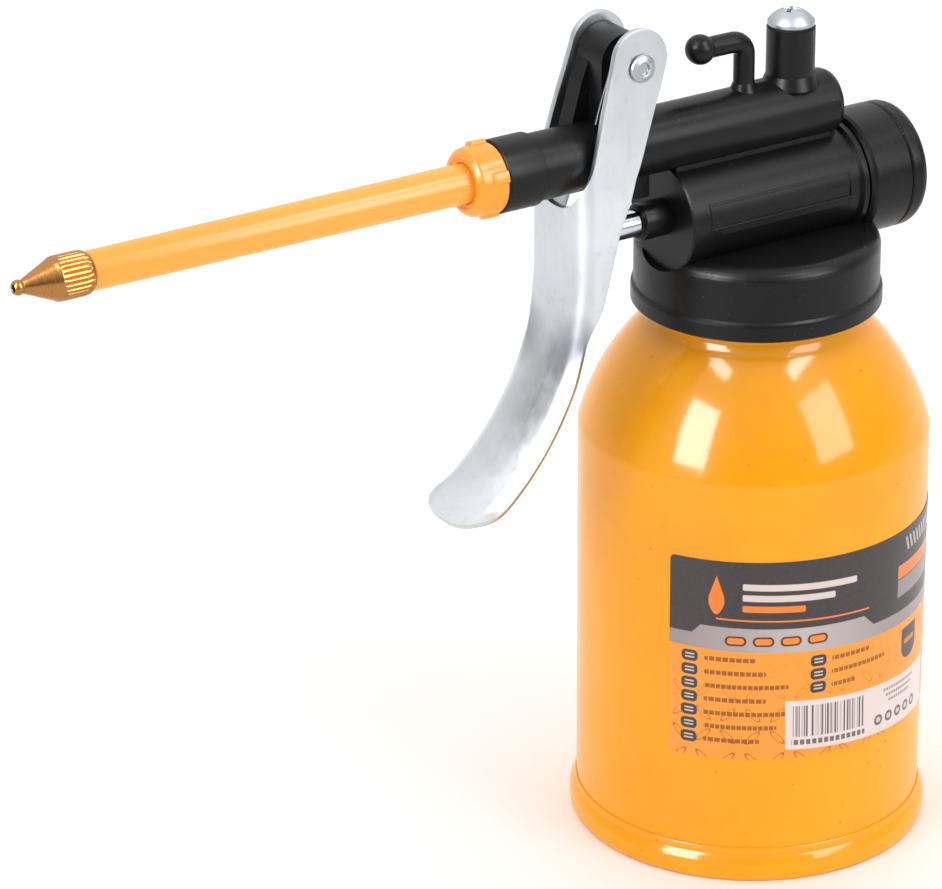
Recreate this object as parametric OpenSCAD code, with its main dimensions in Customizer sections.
// Hand-pumped oil can: a drawn tin can with a screw-on pump head, a squeeze
// lever and a straight spout. Origin at the centre of the can's foot, +Z up,
// the spout along -X, and the XZ plane as the plane of symmetry.

/* [Can] */
// Outer radius of the can's wall
can_r = 31.5; // [31:0.1:32]
// Thickness of the can's sheet, drawn heavier than the real tinplate
can_t = 0.6; // [0.5:0.1:0.8]
// Height at which the straight wall turns into the domed shoulder
shoulder_z = 77; // [76:0.5:78]
// Outer radius of the foot seam
foot_r = 32.7; // [32.4:0.1:33]
// Outer radius of the filler neck
neck_r = 18.9; // [18.5:0.1:19]
// Height of the neck's top edge
neck_top = 109.7; // [109:0.1:109.7]

/* [Label] */
// Lower edge of the label
label_z0 = 24.2; // [20:0.1:30]
// Upper edge of the label
label_z1 = 62.8; // [58:0.1:66]
// Angle at which the label starts, counted from +X
label_a0 = -153; // [-160:1:-140]
// How far the label reaches round the can, in degrees
label_span = 150; // [120:1:170]

/* [Screw cap] */
// Outer radius of the cap's skirt
cap_r = 21.8; // [21.6:0.1:22]
// Height of the cap's lower edge
cap_z0 = 100.3; // [100:0.1:100.5]
// Height of the cap's top face
cap_z1 = 113.3; // [113:0.1:113.5]
// Outer radius of the bead at the cap's lower edge
cap_bead_r = 22.3; // [22.1:0.1:22.6]

/* [Pump cylinder] */
// Height of the pump cylinder's axis
pump_z = 119.7; // [119.5:0.1:119.9]
// Outer radius of the pump cylinder
pump_r = 9.6; // [9.4:0.1:9.8]
// Radius of the pump's bore
pump_bore = 6.3; // [6:0.1:6.5]
// Front face of the pump cylinder
pump_x0 = -20.6; // [-21:0.1:-20]
// Outer radius of the rear chamber
rear_r = 11.4; // [11.2:0.1:11.6]

/* [Discharge tube and spout] */
// Height of the discharge tube's axis
tube_z = 134.3; // [134:0.1:134.6]
// Outer radius of the discharge tube
tube_r = 5.85; // [5.7:0.05:5.9]
// Outer radius of the adaptor behind the union nut
sleeve_r = 6.4; // [6.2:0.1:6.5]
// Outer radius of the union nut
nut_r = 6.1; // [6:0.1:6.3]
// Outer radius of the spout at the nut
spout_r = 3.46; // [3.4:0.02:3.5]
// Outer radius of the spout at the nozzle
spout_tip_r = 3.3; // [3.2:0.02:3.4]
// Forward end of the spout tube
spout_x0 = -132.9; // [-134:0.1:-132]

/* [Lever] */
// X of the lever's pivot
piv_x = -30.2; // [-30.5:0.1:-29.9]
// Height of the lever's pivot
piv_z = 150.6; // [150.4:0.1:150.8]
// Outer width of the lever's handle
lever_w = 17.6; // [17.4:0.1:17.8]
// Sheet thickness of the lever
lever_t = 1.1; // [1:0.05:1.2]
// Radius of the handle's curve
handle_r = 48; // [47:0.5:49]
// How far the handle's curve sweeps, in degrees
handle_sweep = 59.5; // [57:0.5:60]

/* [Hook and valve boss] */
// X of the valve boss and of both valves
boss_x = 6.4; // [6.2:0.1:6.6]
// Outer radius of the valve boss
boss_r = 4.3; // [4.2:0.05:4.4]
// Height of the valve boss's top
boss_top = 149.3; // [149:0.1:149.5]
// X of the hook's upright
hook_x = -3.6; // [-3.8:0.1:-3.4]
// Height of the hook's arm
hook_z = 148.65; // [148.4:0.05:148.8]
// X of the ball at the hook's end
ball_x = -13; // [-13.2:0.1:-12.8]

/* [Hidden] */
$fn = 96;

YELLOW = [0.99, 0.66, 0.10];
BLACK = [0.05, 0.05, 0.055];
ZINC = [0.75, 0.77, 0.80];
BRASS = [0.80, 0.60, 0.28];

// The shoulder's dome: one arc seen in section
sh_cx = -10.1;
sh_cz = shoulder_z - 11.25;
sh_r = sqrt(pow(can_r - sh_cx, 2) + pow(11.25, 2));
sh_a0 = asin(11.25 / sh_r);
sh_a1 = acos((neck_r + 0.9 - sh_cx) / sh_r);

// Points of an arc about (cx, cy)
function arc(cx, cy, r, a0, a1, n) =
    [for (i = [0:n]) let (a = a0 + (a1 - a0) * i / n) [cx + r * cos(a), cy + r * sin(a)]];

// Helix about Z with straight ends: centre line points
function helix(r, h, turns, per) =
    [for (i = [0:turns * per]) [r * cos(360 * i / per), r * sin(360 * i / per), h * i / (turns * per)]];

function unit(v) = v / norm(v);
// Eight-sided ring of radius rw about point p with direction d
function ring(p, d, up, rw, m) =
    let (s = unit(cross(d, up)), t = unit(cross(s, d)))
    [for (k = [0:m - 1]) p + rw * (cos(360 * k / m) * s + sin(360 * k / m) * t)];

// Round wire swept along a list of points
module wire(pts, rw, up = [0, 0, 1], m = 8) {
    n = len(pts);
    dirs = [for (i = [0:n - 1]) unit(pts[min(i + 1, n - 1)] - pts[max(i - 1, 0)])];
    v = [for (i = [0:n - 1]) each ring(pts[i], dirs[i], up, rw, m)];
    side = [for (i = [0:n - 2]) for (k = [0:m - 1])
        [i * m + k, i * m + (k + 1) % m, (i + 1) * m + (k + 1) % m, (i + 1) * m + k]];
    polyhedron(v, concat(side, [[for (k = [m - 1:-1:0]) k]], [[for (k = [0:m - 1]) (n - 1) * m + k]]), convexity = 10);
}

// A body of revolution about X: profile points are (radius, x)
module turned_x(z, pts) {
    translate([0, 0, z]) rotate([0, 90, 0]) rotate_extrude() polygon(pts);
}
module cyl_x(z, x0, x1, r) {
    translate([x0, 0, z]) rotate([0, 90, 0]) cylinder(h = x1 - x0, r = r);
}

// ---- can ----
module can_body() {
    color(YELLOW) rotate_extrude() polygon(concat(
        [[can_r, 3.0]],
        [[can_r, shoulder_z - 1.2], [can_r - 0.12, shoulder_z - 0.1]],
        arc(sh_cx, sh_cz, sh_r, sh_a0 + 1.2, sh_a1, 14),
        [[neck_r + 0.25, sh_cz + sh_r * sin(sh_a1) + 1.0], [neck_r, sh_cz + sh_r * sin(sh_a1) + 1.9],
         [neck_r, neck_top], [neck_r - can_t, neck_top],
         [neck_r - can_t, sh_cz + sh_r * sin(sh_a1) + 0.7]],
        arc(sh_cx, sh_cz, sh_r - can_t, sh_a1, sh_a0 + 1.2, 14),
        [[can_r - can_t, shoulder_z - 1.4], [can_r - can_t, 3.0]]));
}
module can_base() {
    // Foot seam that stands proud of the wall, and a raised bottom panel
    color(YELLOW) rotate_extrude() polygon([
        [0, 3.0], [28.5, 3.0], [29.2, 2.7], [29.8, 1.6], [30.4, 0.4], [31.0, 0],
        [32.0, 0], [32.45, 0.25], [foot_r, 0.9], [foot_r, 3.3], [foot_r - 0.15, 4.1],
        [32.1, 4.9], [31.85, 5.3], [31.9, 5.7], [31.8, 6.2], [can_r + 0.02, 6.6],
        [can_r + 0.02, 3.0], [can_r - can_t - 0.02, 3.0], [can_r - can_t - 0.02, 4.6],
        [30.2, 4.6], [29.6, 3.6], [0, 3.6]]);
}
module can_label() {
    // Paper label wrapped round the wall
    color([0.35, 0.33, 0.33]) translate([0, 0, label_z0]) rotate([0, 0, label_a0])
        rotate_extrude(angle = label_span) translate([can_r + 0.01, 0]) square([0.12, label_z1 - label_z0]);
}

// ---- screw cap, pump cylinder, discharge tube, boss, lug and hook: one moulding ----
module neck_seal() {
    color([0.85, 0.84, 0.8]) translate([0, 0, 109.75]) difference() {
        cylinder(h = 1.2, r = 19.15);
        translate([0, 0, -1]) cylinder(h = 4, r = 15.6);
    }
}
cap_f = 2.5;
module pump_outside() {
    // cap skirt with its bead and rounded top edge
    rotate_extrude() polygon(concat(
        [[0, 111], [0, cap_z1], [cap_r - cap_f, cap_z1]],
        arc(cap_r - cap_f, cap_z1 - cap_f, cap_f, 90, 0, 8),
        [[cap_r, cap_z0 + 3.6], [cap_bead_r - 0.1, cap_z0 + 3.2], [cap_bead_r, cap_z0 + 2.7],
         [cap_bead_r, cap_z0 + 0.3], [cap_bead_r - 0.3, cap_z0], [19.3, cap_z0], [19.3, 111]]));
    // pump cylinder, with the ring in front of the rear chamber
    turned_x(pump_z, [[0, pump_x0], [pump_r - 0.3, pump_x0], [pump_r, pump_x0 + 0.3], [pump_r, 15.4],
        [10.4, 15.7], [10.4, 16.7], [pump_r, 16.9], [pump_r, 17.3], [0, 17.3]]);
    // rear chamber that takes the rear cap; it stays out of the cap's cavity
    difference() {
        turned_x(pump_z, [[0, 17.1], [rear_r - 0.9, 17.1], [rear_r - 0.27, 17.4], [rear_r, 18.0], [rear_r, 25.35], [rear_r - 0.2, 25.6], [0, 25.6]]);
        translate([0, 0, 95]) cylinder(h = 16, r = 19.3);
    }
    // discharge tube
    turned_x(tube_z, [[0, -48.6], [tube_r, -48.6], [tube_r, 13.4], [tube_r - 0.35, 14.3], [tube_r - 1.2, 14.7], [0, 14.7]]);
    // wall that joins the tube to the pump cylinder, and the rib under the tube
    translate([-20.0, -3.4, pump_z + 6]) cube([34, 6.8, tube_z - pump_z - 8]);
    translate([-27.5, -0.9, 124.4]) cube([10, 1.8, 6.0]);
    // valve boss
    translate([boss_x, 0, tube_z]) cylinder(h = boss_top - tube_z, r = boss_r);
    translate([boss_x, 0, tube_z + 4.4]) cylinder(h = 2.2, r1 = boss_r + 0.9, r2 = boss_r);
    translate([hook_x, -0.8, tube_z + 4]) cube([8, 1.6, 2.3]);
    // hanging hook: upright, bend, arm and ball
    translate([hook_x, 0, tube_z + 5]) cylinder(h = hook_z - 2.6 - tube_z - 5, r = 1.87);
    translate([hook_x, 0, tube_z + 5.2]) cylinder(h = 1.6, r1 = 2.6, r2 = 1.87);
    translate([hook_x - 2.6, 0, hook_z - 2.6]) rotate([90, 0, 0]) rotate_extrude(angle = 90) translate([2.6, 0]) circle(r = 1.87, $fn = 48);
    translate([ball_x, 0, hook_z]) rotate([0, 90, 0]) cylinder(h = hook_x - 2.6 - ball_x, r = 1.87);
    translate([ball_x, 0, hook_z]) sphere(r = 2.65);
    // pivot lug: hub between the lever's ears on a foot that stands on the tube
    translate([piv_x, 5.1, piv_z]) rotate([90, 0, 0]) cylinder(h = 7.4, r = 4.9);
    translate([piv_x, -2.3, piv_z]) rotate([90, 0, 0]) cylinder(h = 3.0, r = 2.3);
    translate([piv_x - 4.9, -2.3, tube_z + 2]) cube([9.8, 7.4, piv_z - tube_z - 2]);
    // flat plate beside the far ear
    translate([0, 5.1, 0]) rotate([90, 0, 0]) linear_extrude(height = 3.7)
        polygon([[-35.1, 150.6], [-36.6, 147], [-39.1, 138], [-39.1, 134], [-26, 134], [-26, 150.6]]);
    // socket for the dip tube, inside the neck
    translate([boss_x, 0, 98]) cylinder(h = 16, r = 4.6);
}
module pump_body() {
    color(BLACK) difference() {
        pump_outside();
        // the cap's rounded edge is cut back in front of the pump's face
        translate([-24, 0, pump_z]) rotate([0, 90, 0]) cylinder(h = 24 + pump_x0, r = pump_r);
        // pump bore, the rear cap's thread, gland hole
        cyl_x(pump_z, -17.5, 22, pump_bore);
        cyl_x(pump_z, 20.2, 27, 9.25);
        cyl_x(pump_z, -24, -17, 3.32);
        // discharge passage and the adaptor's socket
        cyl_x(tube_z, -41, boss_x, 2.4);
        cyl_x(tube_z, -50, -41, 4.62);
        // outlet valve chamber and its port
        translate([boss_x, 0, 131.2]) cylinder(h = 20, r = 3.0);
        translate([boss_x, 0, 122]) cylinder(h = 12, r = 1.6);
        // inlet valve chamber and its port
        translate([boss_x, 0, 97]) cylinder(h = 14, r = 2.9);
        translate([boss_x, 0, 108]) cylinder(h = 9, r = 1.6);
        // room for the neck's gasket under the cap's top
        rotate_extrude() translate([15.3, 109.5]) square([4.0, 1.5]);
        // pivot hole
        translate([piv_x, 8, piv_z]) rotate([90, 0, 0]) cylinder(h = 16, r = 1.6);
        // shallow panel on each side of the pump cylinder
        for (s = [-1, 1]) translate([-14.5, s * 9.95 - 0.5, 115.4]) cube([27.5, 1.0, 8.4]);
    }
}
module rear_cap() {
    // screwed plug with a rounded flange, hollow for the end of the return spring
    color(BLACK) difference() {
        turned_x(pump_z, [[0, 21.15], [8.9, 21.15], [9.2, 21.45], [9.2, 25.7], [rear_r - 0.3, 25.7], [rear_r - 0.06, 25.95],
            [rear_r - 0.05, 27.6], [rear_r - 0.3, 28.5], [rear_r - 0.8, 29.1], [rear_r - 1.6, 29.4], [0, 29.45]]);
        cyl_x(pump_z, 20, 27.35, 6.0);
    }
}
module rear_cap_seal() {
    color([0.1, 0.1, 0.1]) translate([20.25, 0, pump_z]) rotate([0, 90, 0]) difference() {
        cylinder(h = 0.85, r = 9.15);
        translate([0, 0, -1]) cylinder(h = 3, r = 6.4);
    }
}

// ---- valves ----
screw_dome = 5.014;         // radius of the valve screw's domed head
module outlet_valve_screw() {
    color(ZINC) difference() {
        translate([boss_x, 0, 0]) rotate_extrude() polygon(concat(
            [[0, 143.2], [2.6, 143.2], [2.93, 143.6], [2.93, boss_top + 0.4], [4.05, boss_top + 0.4], [4.15, boss_top + 0.5]],
            arc(0, boss_top + 3.3 - screw_dome, screw_dome, 34.1, 90, 14)));
        // cross recess
        for (a = [45, 135]) translate([boss_x, 0, boss_top + 2.0]) rotate([0, 0, a]) translate([-1.9, -0.35, 0]) cube([3.8, 0.7, 4]);
    }
}
module valve_screw_washer() {
    color([0.12, 0.12, 0.12]) translate([boss_x, 0, boss_top]) difference() {
        cylinder(h = 0.4, r = 4.0);
        translate([0, 0, -1]) cylinder(h = 3, r = 2.95);
    }
}
module outlet_valve_spring() {
    color(ZINC) translate([boss_x, 0, 135.75]) wire(helix(1.9, 7.1, 6, 16), 0.3, m = 6);
}
module outlet_valve_ball() {
    color(ZINC) translate([boss_x, 0, 133.05]) sphere(r = 2.4);
}
module inlet_valve_ball() {
    color(ZINC) translate([boss_x, 0, 107.2]) sphere(r = 2.3);
}
module inlet_valve_seat() {
    color(BLACK) translate([boss_x, 0, 103.4]) difference() {
        cylinder(h = 2.0, r = 2.89);
        translate([0, 0, -1]) cylinder(h = 4, r = 1.5);
    }
}
module dip_tube() {
    color([0.9, 0.9, 0.86]) difference() {
        translate([boss_x, 0, 12]) cylinder(h = 91.4, r = 2.89);
        translate([boss_x, 0, 11]) cylinder(h = 94, r = 2.0);
    }
}
module suction_strainer() {
    // slotted cup pushed over the lower end of the dip tube
    color([0.85, 0.85, 0.8]) difference() {
        translate([boss_x, 0, 6.6]) cylinder(h = 10, r = 3.7);
        translate([boss_x, 0, 11.9]) cylinder(h = 6, r = 2.9);
        translate([boss_x, 0, 7.6]) cylinder(h = 6, r = 2.0);
        for (a = [0:60:300]) translate([boss_x, 0, 7.8]) rotate([0, 0, a]) translate([1, -0.5, 0]) cube([5, 1, 3.4]);
    }
}

// ---- gland, adaptor, spout ----
module rod_gland() {
    color(BLACK) difference() {
        turned_x(pump_z - 0.0, [[0, -26.3], [2.9, -26.3], [3.3, -25.9], [3.3, -17.5], [0, -17.5]]);
        cyl_x(pump_z, -28, -15, 2.4);
    }
}
module rod_seal() {
    color([0.1, 0.1, 0.1]) difference() {
        turned_x(pump_z, [[0, -17.45], [4.3, -17.45], [4.6, -17.2], [4.6, -16.2], [4.3, -15.95], [0, -15.95]]);
        cyl_x(pump_z, -20, -12, 2.38);
    }
}
module spout_adaptor() {
    color(BLACK) difference() {
        turned_x(tube_z, [[0, -58.6], [4.7, -58.6], [5.0, -58.3], [5.0, -56.0], [sleeve_r - 0.15, -56.0], [sleeve_r, -55.85],
            [sleeve_r, -48.8], [sleeve_r - 0.15, -48.62], [4.6, -48.62], [4.6, -41.1], [0, -41.1]]);
        cyl_x(tube_z, -60, -40, 2.4);
    }
}
module spout_gasket() {
    color([0.1, 0.1, 0.1]) difference() {
        cyl_x(tube_z, -59.35, -58.65, 4.7);
        cyl_x(tube_z, -61, -57, 2.4);
    }
}
module union_nut() {
    color(YELLOW) difference() {
        union() {
            turned_x(tube_z, [[0, -61.3], [4.0, -61.3], [4.25, -61.75], [4.9, -61.8], [5.4, -61.65], [nut_r - 0.3, -61.05], [nut_r - 0.05, -60.4],
                [nut_r, -59.5], [nut_r, -56.25], [nut_r - 0.15, -56.05], [0, -56.05]]);
            for (a = [0:90:270]) translate([-59.6, 0, tube_z]) rotate([a, 0, 0]) translate([0, -0.9, 4.9]) {
                cube([3.4, 1.8, 1.7]);
                translate([0, 0.9, 0]) cylinder(h = 1.7, r = 0.9, $fn = 32);
            }
        }
        cyl_x(tube_z, -60.5, -54, 5.06);
        cyl_x(tube_z, -63, -60, 3.75);
    }
}
module spout_tube() {
    color([1.0, 0.72, 0.3]) difference() {
        turned_x(tube_z, [[0, spout_x0], [spout_tip_r - 0.1, spout_x0], [spout_tip_r, spout_x0 + 0.15], [spout_r, -63], [spout_r, -60.4],
            [4.8, -60.4], [4.8, -59.4], [0, -59.4]]);
        cyl_x(tube_z, -134, -58, 2.2);
    }
}
module nozzle_tip() {
    color(BRASS) difference() {
        turned_x(tube_z, [[0, -146.3], [0.75, -146.3], [1.15, -146.0], [1.3, -145.4], [1.15, -144.9], [1.3, -144.6], [3.5, -139.2], [3.75, -138.7],
            [3.72, -135.5], [3.62, -133.8], [3.3, -133.0], [2.18, -132.95], [2.18, -127], [0, -127]]);
        cyl_x(tube_z, -148, -142.5, 0.6);
        cyl_x(tube_z, -143, -126, 1.3);
        // axial flutes round the grip
        for (a = [0:15:345]) translate([-136.4, 0, tube_z]) rotate([a, 0, 0]) translate([-3.2, -0.18, 3.5]) cube([6.8, 0.36, 1]);
    }
}

// ---- lever ----
front_x = -43.0;            // X of the web's front face
bend_z = 115.5;             // height at which the handle starts to curve
hcx = front_x - handle_r;
ear_cz = piv_z + 1.3;
ear_r = 5.4;
ear_hw = lever_w / 2 - 1.82; // half the width across the ears at the pivot
// the handle's curve seen from the side, o behind its front face
function handle_arc(o, i0, i1, d) =
    [for (i = [i0:d:i1]) let (a = -handle_sweep * i / 16) [hcx + (handle_r + o) * cos(a), bend_z + (handle_r + o) * sin(a)]];
module slab_y(w) { rotate([90, 0, 0]) translate([0, 0, -w / 2]) linear_extrude(height = w) children(); }
// the space between two planes that lean in towards the top, d inside the lever's outer faces
module splay(d) {
    h = lever_w / 2 - d;
    translate([-80, 0, 0]) rotate([90, 0, 90]) linear_extrude(height = 70)
        polygon([[-h, 50], [h, 50], [h, 127], [h - 2.4, 158], [2.4 - h, 158], [-h, 127]]);
}
module trigger_lever() {
    color(ZINC) difference() {
        intersection() {
            union() {
                slab_y(20) polygon(concat(
                    [[-34.9, 154.5], [-36.1, 150.6], [-38.0, 144], [-39.3, 139], [-40.3, 135], [front_x, 131.2], [front_x, bend_z]],
                    handle_arc(0, 1, 16, 1), handle_arc(lever_t, 16, 6, -1),
                    [[-44.2, 100.0], [-41.8, 105.3], [-39.0, 113.5], [-36.5, 121.7], [-33.9, 128.4], [-31.1, 134.7], [-26.4, 147.2], [-24.9, 151.1]]));
                translate([piv_x, 10, ear_cz]) rotate([90, 0, 0]) cylinder(h = 20, r = ear_r);
            }
            splay(0);
        }
        // inside of the channel, open towards the can
        intersection() {
            slab_y(20) polygon(concat([[-20, 60], [-20, 170], [-50, 170], [-50, 133.5], [front_x + lever_t, 131.2], [front_x + lever_t, bend_z]],
                handle_arc(lever_t, 1, 16, 1)));
            splay(lever_t);
        }
        // the web is cut out round the discharge tube
        translate([-50, 0, 134.4]) rotate([0, 90, 0]) cylinder(h = 12, r = 7.9);
        translate([-50, -lever_w, 134.4]) cube([9.9, 2 * lever_w, 12]);
        // rounded corners of the handle's end
        for (s = [-1, 1]) tip_corner(s);
        // pivot holes
        translate([piv_x, 20, piv_z]) rotate([90, 0, 0]) cylinder(h = 40, r = 1.62);
    }
}
// what is cut away to round one corner of the handle's end
module tip_corner(s) {
    r = 6.2;
    translate([hcx, 0, bend_z]) rotate([0, handle_sweep, 0]) translate([handle_r - 4, s * (lever_w / 2 - r), 0])
        difference() {
            translate([0, s > 0 ? 0 : -r - 1, -1]) cube([9, r + 1, r + 1]);
            translate([-1, 0, r]) rotate([0, 90, 0]) cylinder(h = 12, r = r);
        }
}
module pivot_rivet() {
    color(ZINC) difference() {
        union() {
            translate([piv_x, ear_hw + 1, piv_z]) rotate([90, 0, 0]) cylinder(h = 2 * ear_hw + 2, r = 1.55);
            for (s = [-1, 1]) translate([piv_x, s * (ear_hw + 0.63), piv_z]) rotate([90, 0, 0]) {
                translate([0, 0, -0.45]) cylinder(h = 0.9, r = 2.45);
            }
        }
        for (s = [-1, 1]) translate([piv_x, s * (ear_hw + 1.5), piv_z]) rotate([90, 0, 0]) translate([0, 0, -1.05]) cylinder(h = 2.1, r = 1.4);
    }
}
module lever_spring() {
    // torsion spring: turns round the lug's small hub, one leg on the lever, one on the tube
    turns = 2;
    coil = [for (i = [0:turns * 24 + 12]) let (a = 180 - 15 * i, y = -2.7 - 1.85 * i / (turns * 24 + 12))
        [piv_x + 3.0 * cos(a), y, piv_z + 3.0 * sin(a)]];
    pts = concat([[-38.5, -2.75, 141.0], [-37.7, -2.72, 142.4], [-33.6, -2.7, 149.5]], coil, [[-27.0, -4.56, 148.4], [-26.7, -4.58, 143.0], [-26.6, -4.4, 140.2]]);
    color(ZINC) wire(pts, 0.35, up = [0, 1, 0], m = 6);
}

// ---- piston ----
module piston_rod() {
    // round-nosed rod that the lever pushes on
    color(ZINC) translate([0, 0, pump_z]) rotate([0, 90, 0]) rotate_extrude() polygon(concat(
        [[0, -41.6]], [for (i = [1:10]) [2.35 * sin(9 * i), -39.25 - 2.35 * cos(9 * i)]],
        [[2.35, -15.6], [1.6, -15.6], [1.6, -5.6], [1.3, -5.3], [0, -5.3]]));
}
module piston_head() {
    color([0.9, 0.9, 0.86]) difference() {
        turned_x(pump_z, [[0, -15.6], [6.0, -15.6], [6.24, -15.3], [6.24, -13.4], [5.2, -13.4], [5.2, -11.2], [6.24, -11.2], [6.24, -9.0], [6.0, -8.7], [0, -8.7]]);
        cyl_x(pump_z, -17, -7, 1.62);
    }
}
module piston_seal() {
    color([0.1, 0.1, 0.1]) difference() {
        turned_x(pump_z, [[5.22, -13.2], [6.05, -13.2], [6.27, -12.7], [6.27, -11.9], [6.05, -11.4], [5.22, -11.4]]);
    }
}
module piston_nut() {
    color(ZINC) difference() {
        translate([-8.65, 0, pump_z]) rotate([0, 90, 0]) cylinder(h = 2.4, r = 3.1, $fn = 6);
        cyl_x(pump_z, -10, -5, 1.62);
    }
}
module return_spring() {
    color(ZINC) translate([-8.1, 0, pump_z]) rotate([0, 90, 0]) wire(helix(5.1, 34.9, 8, 20), 0.5, m = 6);
}

can_body();
can_base();
can_label();
neck_seal();
pump_body();
rear_cap();
rear_cap_seal();
outlet_valve_screw();
valve_screw_washer();
outlet_valve_spring();
outlet_valve_ball();
inlet_valve_ball();
inlet_valve_seat();
dip_tube();
suction_strainer();
rod_gland();
rod_seal();
spout_adaptor();
spout_gasket();
union_nut();
spout_tube();
nozzle_tip();
trigger_lever();
pivot_rivet();
lever_spring();
piston_rod();
piston_head();
piston_seal();
piston_nut();
return_spring();
